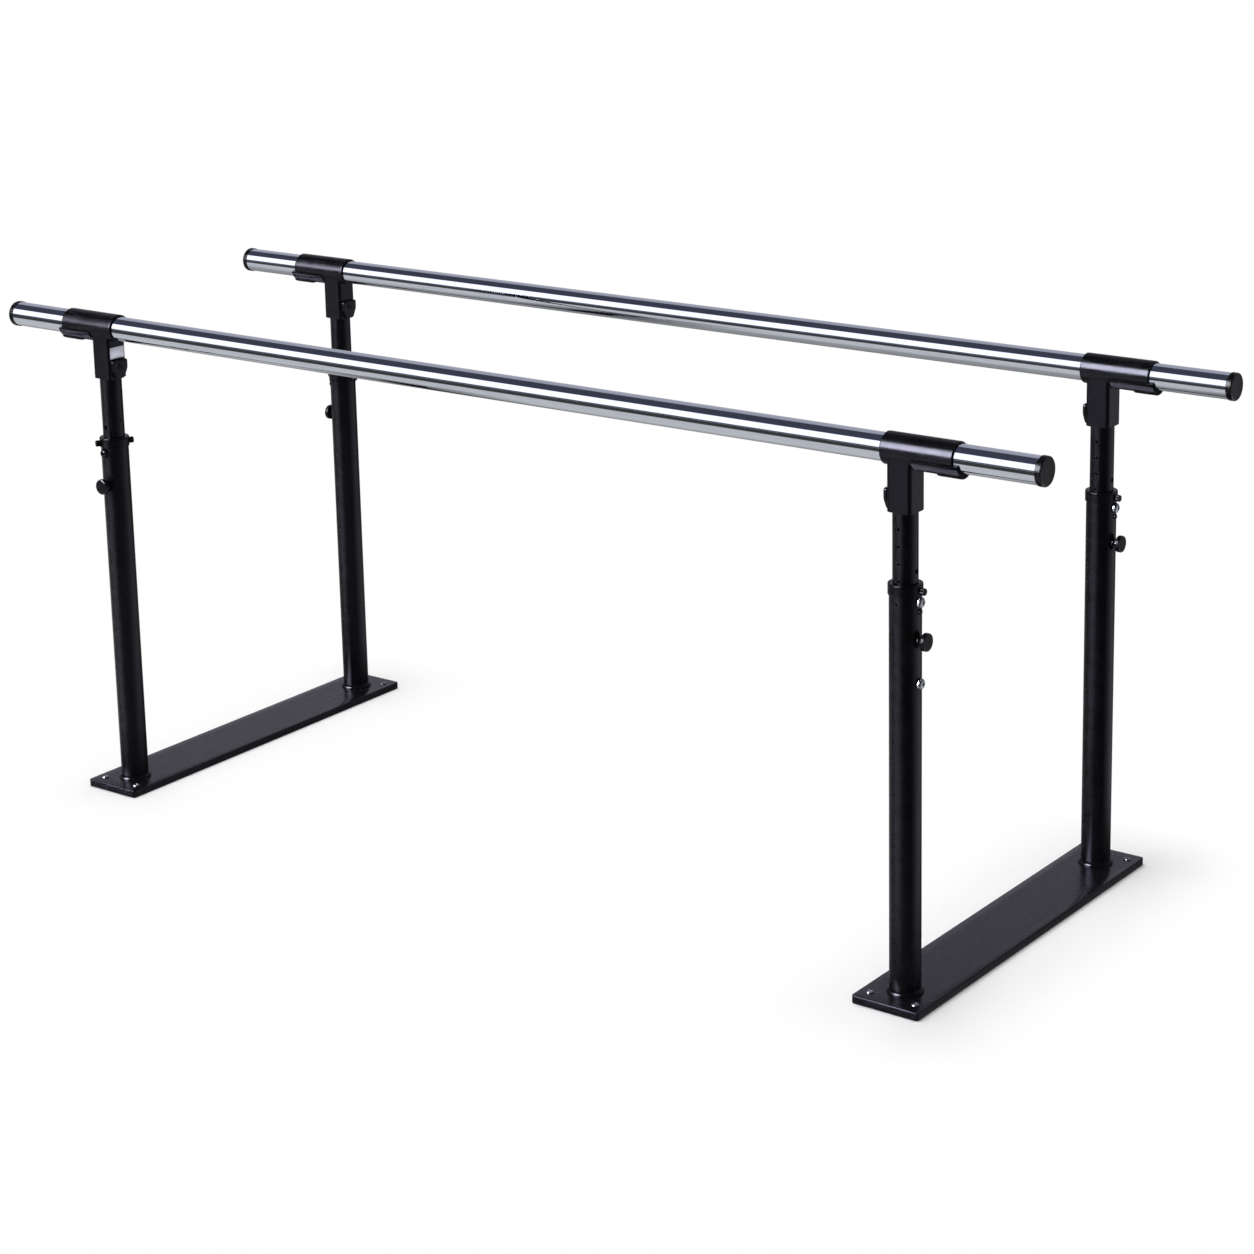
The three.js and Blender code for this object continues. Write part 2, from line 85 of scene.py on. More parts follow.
# The four posts: the end and side they stand at, the degrees that plunger and collar are turned from facing
# outwards, their collar screws, and what only one of them has
Post = namedtuple("Post", "end side turn collar_turn screws window low_bolt",
                  defaults=(0, 0, ("outer",), False, False))
POSTS = {
    "near_left": Post(-1, -1, turn=90, collar_turn=60, screws=("outer", "inner"), window=True),
    "near_right": Post(1, -1, low_bolt=True),
    "far_left": Post(-1, 1, screws=("outer", "inner")),
    "far_right": Post(1, 1),
}

# The turn in degrees that lays a piece made along Z down along X
ALONG_X = (0, 90, 0)


def nothing_selected():
    bpy.ops.object.select_all(action="DESELECT")


def only(piece):
    """Make one object the selected and active one."""
    nothing_selected()
    piece.select_set(True)
    bpy.context.view_layer.objects.active = piece


def begin(name, adder, **settings):
    """Add a primitive with nothing else selected and name it."""
    nothing_selected()
    adder(**settings)
    piece = bpy.context.object
    piece.name = piece.data.name = name
    return piece


def settle(piece, place=(0, 0, 0), turn=(0, 0, 0)):
    """Turn and move a piece, then put its place into its mesh."""
    only(piece)
    piece.rotation_euler = [math.radians(angle) for angle in turn]
    piece.location = place
    bpy.ops.object.transform_apply(location=True, rotation=True, scale=True)
    return piece


def apply(piece, kind, **settings):
    """Add a modifier with its settings and apply it."""
    only(piece)
    modifier = piece.modifiers.new(kind.lower(), kind)
    for key, value in settings.items():
        setattr(modifier, key, value)
    bpy.ops.object.modifier_apply(modifier=modifier.name)
    return piece


def soften(piece, width, segments=3, angle=30):
    """Round the sharp edges of a piece."""
    return apply(piece, "BEVEL", width=width, segments=segments, limit_method="ANGLE",
                 angle_limit=math.radians(angle), harden_normals=False)


def combine(piece, other, operation):
    """Join another piece to this one, or cut it away, and remove the other."""
    apply(piece, "BOOLEAN", operation=operation, object=other, solver="EXACT")
    bpy.data.objects.remove(other)
    return piece


def smooth(piece, angle=32):
    only(piece)
    bpy.ops.object.shade_smooth_by_angle(angle=math.radians(angle))
    return piece


def choose(piece, kind, test):
    """Select the vertices, edges or polygons of a piece that pass a test, and stay in edit mode."""
    only(piece)
    bpy.ops.object.mode_set(mode="EDIT")
    bpy.ops.mesh.select_mode(type={"vertices": "VERT", "edges": "EDGE", "polygons": "FACE"}[kind])
    bpy.ops.mesh.select_all(action="DESELECT")
    bpy.ops.object.mode_set(mode="OBJECT")
    for part in getattr(piece.data, kind):
        part.select = test(part)
    bpy.ops.object.mode_set(mode="EDIT")


def turned(name, stations, sides=64, ring=False):
    """A piece turned round Z: a circle extruded and scaled from station to station, each (radius, height)."""
    radius, height = stations[0]
    piece = begin(name, bpy.ops.mesh.primitive_circle_add, vertices=sides, radius=radius, location=(0, 0, 0))
    bpy.ops.object.mode_set(mode="EDIT")
    bpy.ops.mesh.select_all(action="SELECT")
    bpy.ops.transform.translate(value=(0, 0, height))
    if not ring:
        bpy.ops.mesh.edge_face_add()
    for next_radius, next_height in stations[1:]:
        if ring:
            bpy.ops.mesh.extrude_edges_move()
        else:
            bpy.ops.mesh.extrude_region_move()
        scale = next_radius / radius
        bpy.ops.transform.resize(value=(scale, scale, 1))
        bpy.ops.transform.translate(value=(0, 0, next_height - height))
        radius, height = next_radius, next_height
    bpy.ops.mesh.select_all(action="SELECT")
    if ring:
        bpy.ops.mesh.remove_doubles(threshold=0.01 * MM)
    bpy.ops.mesh.normals_make_consistent(inside=False)
    bpy.ops.object.mode_set(mode="OBJECT")
    return piece


def rod(name, radius, length, place, turn=(0, 0, 0), sides=32):
    """A plain round cutter or blank, its middle at a place."""
    piece = begin(name, bpy.ops.mesh.primitive_cylinder_add, vertices=sides, radius=radius, depth=length)
    return settle(piece, place, turn)


def block(name, size, place, corner=0, corner_steps=8):
    """A block centred at a place, its upright edges rounded where a corner radius is given."""
    piece = begin(name, bpy.ops.mesh.primitive_cube_add, size=1)
    piece.scale = size
    settle(piece, place)
    if corner:
        round_upright_edges(piece, corner, corner_steps)
    return piece


def round_upright_edges(piece, corner, steps):
    spots = [vertex.co.copy() for vertex in piece.data.vertices]

    def runs_upright(edge):
        run = spots[edge.vertices[0]] - spots[edge.vertices[1]]
        return abs(run.z) > abs(run.x) + abs(run.y)

    choose(piece, "edges", runs_upright)
    bpy.ops.mesh.bevel(offset=corner, segments=steps, affect="EDGES")
    bpy.ops.object.mode_set(mode="OBJECT")


# Length of the drills: more than any wall that they pass through
DRILL_LENGTH = 50 * MM


def side_hole(piece, radius, azimuth, height, sides=24):
    """Drill from the Z axis outwards, at an azimuth in degrees from +X."""
    drill = rod("drill", radius, DRILL_LENGTH, (DRILL_LENGTH / 2, 0, height), ALONG_X, sides)
    settle(drill, turn=(0, 0, azimuth))
    return combine(piece, drill, "DIFFERENCE")


def hexagon_socket(screw, radius, top, depth):
    """Sink a hexagon socket into the head of a screw that stands on Z."""
    punch = rod("socket", radius, 2 * depth, (0, 0, top), sides=6)
    return combine(screw, punch, "DIFFERENCE")


def copy_of(piece, name, place=(0, 0, 0), turn=(0, 0, 0)):
    """A copy with its own mesh, turned and moved."""
    twin = piece.copy()
    twin.data = piece.data.copy()
    twin.name = twin.data.name = name
    bpy.context.scene.collection.objects.link(twin)
    return settle(twin, place, turn)


def paint(piece, materials, pick):
    """Give a piece its materials; pick tells each face's place in the list."""
    for material in materials:
        piece.data.materials.append(material)
    for face in piece.data.polygons:
        face.material_index = int(pick(face))
    return piece


def body_of_node(node):
    for body, members in frame["record"]["behaviour"]["bodies"].items():
        if node in members:
            return body
    raise ValueError(node)


def stand_for(piece, node, slot, *materials):
    """Dress a piece, let it ride where its node rides, and show it in the node's stead."""
    if materials:
        piece.data.materials.clear()
        for material in materials:
            piece.data.materials.append(material)
    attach(piece, body_of_node(node))
    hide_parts(node)
    return piece


def to_corner(pattern, name, post, turn=0, height=0):
    """A copy of a piece modelled round a post's axis with its outward side on +X, set at a post."""
    outward = 180 if post.end < 0 else 0
    place = (post.end * POST_X, post.side * POST_Y, height)
    return copy_of(pattern, name, place, (0, 0, outward + turn))


# Materials

def linear(code):
    """sRGB hex to linear red, green, blue and alpha."""
    parts = [int(code[index:index + 2], 16) / 255 for index in (1, 3, 5)]
    return [part / 12.92 if part <= 0.04045 else ((part + 0.055) / 1.055) ** 2.4 for part in parts] + [1]


def add(tree, kind, sockets=None, stops=(), **settings):
    """Add a shader node with its settings; each socket takes a value or another node's output."""
    made = tree.nodes.new("ShaderNode" + kind)
    for key, value in settings.items():
        setattr(made, key, value)
    for position, colour in stops:
        first = position == stops[0][0]
        element = made.color_ramp.elements[0] if first else made.color_ramp.elements.new(position)
        element.position, element.color = position, colour
    if stops:
        # The white stop at 1 that a new ramp ends with
        made.color_ramp.elements.remove(made.color_ramp.elements[-1])
    for key, value in (sockets or {}).items():
        if isinstance(value, bpy.types.NodeSocket):
            tree.links.new(value, made.inputs[key])
        else:
            made.inputs[key].default_value = value
    return made


def grey(value):
    return (value, value, value, 1)


def new_material(name):
    """An empty material, its node tree and the coordinates of the piece it is on."""
    material = bpy.data.materials.new(name)
    material.use_nodes = True
    material.node_tree.nodes.clear()
    return material, material.node_tree, add(material.node_tree, "TexCoord").outputs["Object"]


def surface(tree, sockets):
    shader = add(tree, "BsdfPrincipled", sockets)
    add(tree, "OutputMaterial", {"Surface": shader.outputs["BSDF"]})


# Noise up to the first and from the second value is drawn as a pattern's one and other colour
NOISE_LOW = 0.32
NOISE_HIGH = 0.7


def mottled(tree, place, cell_mm, low, high, detail=3.0):
    """A colour that drifts between two values in cells of a size."""
    cells = add(tree, "TexNoise", {"Vector": place, "Scale": 1 / (cell_mm * MM), "Detail": detail})
    stops = [(NOISE_LOW, low), (NOISE_HIGH, high)]
    return add(tree, "ValToRGB", {"Fac": cells.outputs["Fac"]}, stops).outputs["Color"]


def relief(tree, place, cell_mm, height_mm):
    """Fine surface grain: cells of a size, raised by a height."""
    cells = add(tree, "TexNoise", {"Vector": place, "Scale": 1 / (cell_mm * MM), "Detail": 2.0})
    grain = add(tree, "Bump", {"Height": cells.outputs["Fac"], "Distance": height_mm * MM})
    return grain.outputs["Normal"]


# Cool cast that the black coats give to what they mirror
COOL = (0.84, 0.83, 1.0, 1)
# Sizes in millimetres of the patches in which black and sheen drift, on coats and on plastic
COAT_CLOUD = 45
COAT_SHEEN = 18
PLASTIC_CLOUD = 12
PLASTIC_SHEEN = 7
# Cells across the chrome's polishing lines, and how far they are drawn out along the tube
POLISH_MM = 0.9
POLISH_STRETCH = (0.02, 1, 1)


def coat(name, dark, light, rough, gloss, grain_mm, height_mm):
    """Black coat on steel: a slightly uneven black and sheen, with the fine orange peel of powder coating."""
    material, tree, place = new_material(name)
    surface(tree, {
        "Base Color": mottled(tree, place, COAT_CLOUD, linear(dark), linear(light)),
        "Roughness": mottled(tree, place, COAT_SHEEN, grey(rough - 0.04), grey(rough + 0.05), 4.0),
        "Normal": relief(tree, place, grain_mm, height_mm),
        "Specular IOR Level": gloss,
        "Specular Tint": COOL,
    })
    return material


def plated(name, dark, light, rough, cell_mm):
    """Bare or zinc-plated steel: silver with fine mottling and a soft gloss."""
    material, tree, place = new_material(name)
    surface(tree, {
        "Base Color": mottled(tree, place, cell_mm, linear(dark), linear(light)),
        "Roughness": mottled(tree, place, cell_mm, grey(rough - 0.05), grey(rough + 0.07)),
        "Normal": relief(tree, place, 0.5, 0.008),
        "Metallic": 1.0,
    })
    return material


def plastic(name, dark, light, rough, gloss, grain_mm, height_mm):
    """Black moulded plastic: even colour with a fine spark-eroded grain."""
    material, tree, place = new_material(name)
    surface(tree, {
        "Base Color": mottled(tree, place, PLASTIC_CLOUD, linear(dark), linear(light), 2.0),
        "Roughness": mottled(tree, place, PLASTIC_SHEEN, grey(rough - 0.03), grey(rough + 0.04)),
        "Normal": relief(tree, place, grain_mm, height_mm),
        "Specular IOR Level": gloss,
        "IOR": 1.49,
    })
    return material


def polished_chrome():
    """Chromed steel tube: bright and slightly blue, with faint lengthwise polishing lines."""
    material, tree, place = new_material("polished_chrome_tube")
    along = add(tree, "Mapping", {"Vector": place, "Scale": POLISH_STRETCH}).outputs["Vector"]
    surface(tree, {
        "Base Color": mottled(tree, along, POLISH_MM, linear("#B3B8C2"), linear("#C8CCD3")),
        "Roughness": 0.0,
        "Normal": relief(tree, along, POLISH_MM, 0.001),
        "Metallic": 1.0,
    })
    return material


# Satin powder coat of the tubes: almost black, a soft sheen down each side
POST_COAT = coat("post_powder_coat", "#08080A", "#0C0C0F", 0.28, 0.065, 1.1, 0.006)
# The plates' coat is a little glossier: it mirrors the foot of each post
PLATE_COAT = coat("plate_powder_coat", "#0E0E12", "#121217", 0.25, 0.17, 1.4, 0.004)
# The coat lies thin and duller on the plates' broken edges
EDGE_COAT = coat("plate_edge_coat", "#0E0E12", "#121217", 0.32, 0.06, 1.4, 0.002)
# Gloss black over the weld bead at each foot, with sharp highlights
FOOT_COAT = coat("foot_gloss_coat", "#0C0C0F", "#111115", 0.19, 0.07, 1.4, 0.02)
# Lacquered cast iron of the brackets: dark with a broad pale highlight
BRACKET_COAT = coat("bracket_lacquer", "#0A0A0D", "#0F0F12", 0.22, 0.05, 1.6, 0.006)
# The jaws are duller than the sleeves over them
JAW_COAT = coat("jaw_dull_lacquer", "#0E0E11", "#131316", 0.45, 0.015, 1.6, 0.01)
# Painted highlight: a grey coat along the collars' inner top edge, in place of the light line that edge
# catches
COLLAR_RIM_HIGHLIGHT = coat("collar_edge_painted_highlight", "#4A4A50", "#68686F", 0.3, 0.5, 0.8, 0.02)
# Mirror finish of the rails
CHROME = polished_chrome()
# Bright zinc of screws, bolts and pins
ZINC = plated("bright_zinc_plate", "#5E6064", "#8A8C90", 0.36, 1.6)
# Bare rolled strip, brighter and flatter than the zinc
STEEL = plated("bare_rolled_steel", "#8C8E93", "#A8AAAE", 0.45, 3.0)
# Knobs and thumb screws: satin black nylon
KNOB = plastic("black_nylon", "#08080A", "#0E0E11", 0.3, 0.03, 0.6, 0.01)
# Rail caps: smoother black polyethylene
CAP = plastic("black_polyethylene", "#08080A", "#0F0F12", 0.28, 0.04, 0.9, 0.01)
# Rounded rims of knobs and caps, rubbed to a gloss by hands: a fine light crescent
RIM = plastic("rubbed_plastic_rim", "#0C0C0F", "#131316", 0.2, 0.15, 0.9, 0.004)
# Guide bushes: dull black acetal
BUSH = plastic("black_acetal", "#101012", "#161619", 0.4, 0.3, 0.8, 0.02)


# Base plates and the screws in them

PLATE_CORNER = 5 * MM
PLATE_BEVEL = 1.1 * MM
SCREW_FROM_SIDE = 19 * MM
SCREW_FROM_END = 24 * MM
SCREW_HOLE = 3.65 * MM
SHANK_RADIUS = 3.2 * MM
SHANK_FOOT = 0.8 * MM
SCREW_HEAD = 6 * MM
SCREW_RISE = 2 * MM


def base_plates():
    """Two plates across the walkway, each with four button-head screws."""
    middle = (PLATE_HIGH + PLATE_LOW) / 2
    plate = block("base_plate_pattern", PLATE_SIZE, (0, 0, middle.z), corner=PLATE_CORNER)
    soften(plate, PLATE_BEVEL, 3, 40)
    side, end = PLATE_SIZE.x / 2 - SCREW_FROM_SIDE, PLATE_SIZE.y / 2 - SCREW_FROM_END
    places = [(-side, -end), (side, -end), (-side, end), (side, end)]
    for x, y in places:
        combine(plate, rod("hole", SCREW_HOLE, DRILL_LENGTH, (x, y, 0)), "DIFFERENCE")

    def on_upper_edge(face):
        return 0.1 < face.normal.z < 0.95

    paint(plate, [PLATE_COAT, EDGE_COAT], on_upper_edge)
    smooth(plate)
    screw = floor_screw()
    for end_name, sign in (("left", -1), ("right", 1)):
        piece = copy_of(plate, f"plate_{end_name}", (sign * POST_X, 0, 0))
        stand_for(piece, f"base_plate_{end_name}", "powder_coat")
        for index, (x, y) in enumerate(places, 1):
            twin = copy_of(screw, f"plate_screw_{end_name}_{index}", (sign * POST_X + x, y, 0))
            stand_for(twin, f"floor_screw_{end_name}_{index}", "zinc_screw", ZINC)
    for pattern in (plate, screw):
        bpy.data.objects.remove(pattern)


def floor_screw():
    """Low button head with a hexagon socket, on a plain shank."""
    seat = PLATE_HIGH.z + SLIDE_GAP
    screw = turned("screw_pattern", [
        (SHANK_RADIUS, SHANK_FOOT), (SHANK_RADIUS, seat), (SCREW_HEAD, seat), (SCREW_HEAD, seat + 0.7 * MM),
        (SCREW_HEAD - 0.8 * MM, seat + 1.5 * MM), (SCREW_HEAD - 2.4 * MM, seat + SCREW_RISE),
    ], 40)
    hexagon_socket(screw, 2 * MM, seat + SCREW_RISE, 1 * MM)
    soften(screw, 0.2 * MM, 2, 35)
    return smooth(screw)


# Outer tubes of the posts

FOOT_RADIUS = 28.5 * MM
FOOT_HEIGHT = 6.6 * MM
BOSS_RADIUS = 7.5 * MM
BOSS_REACH = 25.4 * MM
PIN_HOLE = 3.9 * MM
STUD_RADIUS = 4 * MM
STUD_REACH = 27.6 * MM
STUD_DROP = 41 * MM
MARK_RADIUS = 2 * MM
LOWER_MARK_DROP = 28 * MM
# Where boss and stud start, below the tube's outer face
BOSS_ROOT = 20 * MM
STUD_ROOT = 22 * MM


def lower_post_pattern(has_stud, has_mark):
    """Outer tube with its foot bead, plunger boss on +X, and the small stud and hole some posts have."""
    low, top, foot = LOWER_LOW.z, LOWER_HIGH.z, FOOT_RADIUS
    post = turned("lower_pattern", [
        (LOWER_BORE, low), (foot, low), (foot, low + 1.6 * MM), (foot - 0.7 * MM, low + 3.4 * MM),
        (foot - 2 * MM, low + 4.8 * MM), (foot - 3.4 * MM, low + 5.7 * MM), (LOWER_RADIUS, low + FOOT_HEIGHT),
        (LOWER_RADIUS, top - 0.5 * MM), (LOWER_RADIUS - 0.5 * MM, top), (LOWER_BORE, top), (LOWER_BORE, low),
    ], TUBE_SIDES, ring=True)
    boss = turned("boss", [
        (BOSS_RADIUS, BOSS_ROOT), (BOSS_RADIUS, BOSS_REACH - 0.6 * MM), (BOSS_RADIUS - 0.6 * MM, BOSS_REACH),
    ], 48)
    settle(boss, (0, 0, PIN_HEIGHT), ALONG_X)
    combine(post, boss, "UNION")
    core = rod("core", LOWER_BORE, 8 * BOSS_RADIUS, (0, 0, PIN_HEIGHT), sides=TUBE_SIDES)
    combine(post, core, "DIFFERENCE")
    side_hole(post, PIN_HOLE, 0, PIN_HEIGHT, 32)
    if has_stud:
        stud = turned("stud", [
            (STUD_RADIUS, STUD_ROOT), (STUD_RADIUS, STUD_REACH - 1.4 * MM),
            (STUD_RADIUS - 0.8 * MM, STUD_REACH - 0.4 * MM), (STUD_RADIUS - 2 * MM, STUD_REACH),
        ], 32)
        settle(stud, (0, 0, COLLAR_HIGH.z - STUD_DROP), ALONG_X)
        combine(post, stud, "UNION")
    if has_mark:
        side_hole(post, MARK_RADIUS, -90, COLLAR_HIGH.z - LOWER_MARK_DROP, 20)
    paint(post, [POST_COAT, FOOT_COAT], lambda face: face.center.z < low + FOOT_HEIGHT + 0.1 * MM)
    return smooth(post)


# Collars, and the bushes under them

COLLAR_RADIUS = 26 * MM
COLLAR_LIP = 2.4 * MM
COLLAR_HOLE = 2.9 * MM
GROOVE_DEPTH = 0.35 * MM
GROOVE_HALF = 0.3 * MM
# How far out from the lip the collar's painted highlight reaches
HIGHLIGHT_REACH = 1 * MM
BUSH_LENGTH = 62 * MM


def groove(radius, height):
    """The three stations of a fine turned groove."""
    return [(radius, height - GROOVE_HALF), (radius - GROOVE_DEPTH, height), (radius, height + GROOVE_HALF)]


def collar_pattern(screws):
    """Turned collar: skirt over the tube with two fine grooves, lip over its end with a painted highlight
    along its inner edge.
    """
    outer, low, top = COLLAR_RADIUS, COLLAR_LOW.z, COLLAR_HIGH.z
    skirt, lip = LOWER_RADIUS + SLIDE_GAP, INNER_RADIUS + SLIDE_GAP
    collar = turned("collar_pattern", [
        (skirt, low), (outer - 0.4 * MM, low), (outer, low + 0.4 * MM),
        *groove(outer, low + 2.9 * MM), *groove(outer, top - 3.1 * MM),
        (outer, top - 1.2 * MM), (outer - 0.35 * MM, top - 0.35 * MM), (outer - 1.2 * MM, top),
        (lip + 1.2 * MM, top), (lip, top - 0.8 * MM), (lip, top - COLLAR_LIP), (skirt, top - COLLAR_LIP),
        (skirt, low),
    ], TUBE_SIDES, ring=True)
    for where in screws:
        side_hole(collar, COLLAR_HOLE, 0 if where == "outer" else 180, SCREW_HEIGHT, 32)

    # Faces on the lip's inner top edge get the painted highlight: grey colour standing in for the light they
    # catch
    def in_painted_highlight(face):
        reach = math.hypot(face.center.x, face.center.y)
        return face.center.z > top - 0.7 * MM and reach < lip + HIGHLIGHT_REACH

    paint(collar, [BRACKET_COAT, COLLAR_RIM_HIGHLIGHT], in_painted_highlight)
    return smooth(collar, 30)


def bush_pattern():
    """Guide bush between the two tubes of a post, flush with the outer one's end."""
    low, top = LOWER_HIGH.z - BUSH_LENGTH, LOWER_HIGH.z
    bore, outer = INNER_RADIUS + SLIDE_GAP, LOWER_BORE - SLIDE_GAP
    bush = turned("bush_pattern", [
        (bore, low), (outer, low), (outer, top), (bore + 0.5 * MM, top), (bore, top - 0.5 * MM), (bore, low),
    ], 80, ring=True)
    return smooth(bush)


# Bolts, pull pins and thumb screws: each is made standing on Z and laid along X

BOLT_SHANK = 4 * MM
BOLT_TIP = 19.95 * MM
BOLT_HEAD = 8.5 * MM
BOLT_RISE = 6.2 * MM
PIN_RADIUS = 3.5 * MM
KNOB_RADIUS = 13.7 * MM
KNOB_BACK = BOSS_REACH + 5.8 * MM
KNOB_DEPTH = 8 * MM
KNOB_HUB = 1.4 * MM
THUMB_SHANK = 2.5 * MM
THUMB_RADIUS = 5.5 * MM
THUMB_DEPTH = 7.4 * MM
THUMB_KNURLS = 20


def bolt_pattern():
    """Button-head bolt with a hexagon socket."""
    seat = LOWER_RADIUS + SLIDE_GAP
    bolt = turned("bolt_pattern", [
        (BOLT_SHANK, BOLT_TIP), (BOLT_SHANK, seat), (BOLT_HEAD, seat), (BOLT_HEAD, seat + 1.4 * MM),
        (BOLT_HEAD - 0.4 * MM, seat + 2.8 * MM), (BOLT_HEAD - 1.5 * MM, seat + 4.4 * MM),
        (BOLT_HEAD - 3.1 * MM, seat + 5.6 * MM), (BOLT_HEAD - 4.9 * MM, seat + BOLT_RISE),
    ], 64)
    hexagon_socket(bolt, 2.9 * MM, seat + BOLT_RISE, 2.7 * MM)
    soften(bolt, 0.25 * MM, 2, 35)
    settle(bolt, turn=ALONG_X)
    return smooth(bolt)


def pin_pattern():
    """Pull knob on a steel plunger: moulded knob with a rounded rim and a dished face."""
    tip, back, front = INNER_RADIUS + SLIDE_GAP, KNOB_BACK, KNOB_BACK + KNOB_DEPTH
    hub, outer = back - KNOB_HUB, KNOB_RADIUS
    pin = turned("pin_pattern", [
        (PIN_RADIUS - 0.9 * MM, tip), (PIN_RADIUS, tip + 0.9 * MM), (PIN_RADIUS, hub),
        (5.5 * MM, hub), (6.4 * MM, back), (outer - 1.6 * MM, back), (outer - 0.4 * MM, back + 0.5 * MM),
        (outer, back + 1.7 * MM), (outer, front - 1.8 * MM), (outer - 0.5 * MM, front - 0.6 * MM),
        (outer - 1.6 * MM, front), (outer - 4.4 * MM, front - 0.1 * MM), (outer - 8.3 * MM, front - 0.7 * MM),
    ], 72)
    settle(pin, turn=ALONG_X)

    def finish(face):
        along, reach = face.center.x, math.hypot(face.center.y, face.center.z)
        if along < hub + 0.1 * MM:
            return 1
        return 2 if along > front - 1.7 * MM and reach > outer - 1.7 * MM else 0

    paint(pin, [KNOB, ZINC, RIM], finish)
    return smooth(pin, 40)


def thumb_screw_pattern():
    """Small knurled thumb screw."""
    tip, seat, outer = INNER_RADIUS + SLIDE_GAP, COLLAR_RADIUS + SLIDE_GAP, THUMB_RADIUS
    screw = turned("thumb_pattern", [
        (THUMB_SHANK, tip), (THUMB_SHANK, seat), (outer - 0.5 * MM, seat), (outer, seat + 0.5 * MM),
        (outer, seat + THUMB_DEPTH - 0.8 * MM), (outer - 0.7 * MM, seat + THUMB_DEPTH),
    ], 2 * THUMB_KNURLS)

    def in_a_groove(vertex):
        step = round(math.atan2(vertex.co.y, vertex.co.x) / math.tau * 2 * THUMB_KNURLS)
        return math.hypot(vertex.co.x, vertex.co.y) > outer - 0.1 * MM and step % 2 == 1

    choose(screw, "vertices", in_a_groove)
    bpy.ops.transform.resize(value=(0.93, 0.93, 1))
    bpy.ops.object.mode_set(mode="OBJECT")
    settle(screw, turn=ALONG_X)
    return smooth(screw)


# Inner tubes of the posts

INDEX_PITCH = 26 * MM
INDEX_DOWN = 4
INDEX_UP = 6
SOCKET_DROP = 90 * MM
MARK_COUNT = 7
MARK_TOP = RAIL_HEIGHT - SOCKET_DROP - 24 * MM
LUG_HEIGHT = RAIL_HEIGHT - 68 * MM
LUG_HOLE = 3.4 * MM


def inner_post_pattern(has_marks=False, has_face_mark=False, hole_turn=0):
    """Inner tube: index holes towards the plunger, the hole of the lug's screw, and small mark holes."""
    low, top = POST_LOW.z, POST_HIGH.z
    post = turned("inner_pattern", [
        (INNER_BORE, low), (INNER_RADIUS - TUBE_EDGE, low), (INNER_RADIUS, low + TUBE_EDGE),
        (INNER_RADIUS, top - TUBE_EDGE), (INNER_RADIUS - TUBE_EDGE, top), (INNER_BORE, top),
        (INNER_BORE, low),
    ], TUBE_SIDES, ring=True)
    for step in range(-INDEX_DOWN, INDEX_UP + 1):
        side_hole(post, PIN_HOLE, hole_turn, PIN_HEIGHT - step * INDEX_PITCH)
    for row in range(MARK_COUNT if has_marks else 0):
        side_hole(post, MARK_RADIUS, -90, MARK_TOP - row * INDEX_PITCH, 20)
    if has_face_mark:
        side_hole(post, MARK_RADIUS, 180, MARK_TOP - 2 * INDEX_PITCH, 20)
    side_hole(post, LUG_HOLE, 180, LUG_HEIGHT)
    return smooth(post)


# Brackets: a saddle round the rail, from SADDLE_IN to SADDLE_OUT of the post's axis, on a square socket

SADDLE_IN = 30 * MM
SADDLE_OUT = 90 * MM
SADDLE_WALL = 3 * MM
SADDLE_RING_END = 22.25 * MM
SADDLE_EDGE_DROP = 7 * MM
SOCKET_HALF = 20.75 * MM
SOCKET_CORNER = 6 * MM
SOCKET_TOP_DROP = 12 * MM
WINDOW_DROP = 43.7 * MM
WINDOW_WIDTH = 34 * MM
WINDOW_HEIGHT = 21.4 * MM
WINDOW_DEPTH = 30 * MM
# Cell of the remesh that runs the cast bracket's two forms together, and how far it is smoothed and thinned
CAST_CELL = 0.9 * MM
CAST_SMOOTHING = 6
CAST_KEPT = 0.5
# Length of cutters that reach well past a piece
CUTTER = 300 * MM


def rail_bore(piece):
    """Cut the room for the rail, with its gap, out of a bracket or a jaw."""
    middle = (SADDLE_OUT / 2, 0, RAIL_HEIGHT)
    cutter = rod("bore", RAIL_RADIUS + SLIDE_GAP, CUTTER, middle, ALONG_X, TUBE_SIDES)
    return combine(piece, cutter, "DIFFERENCE")


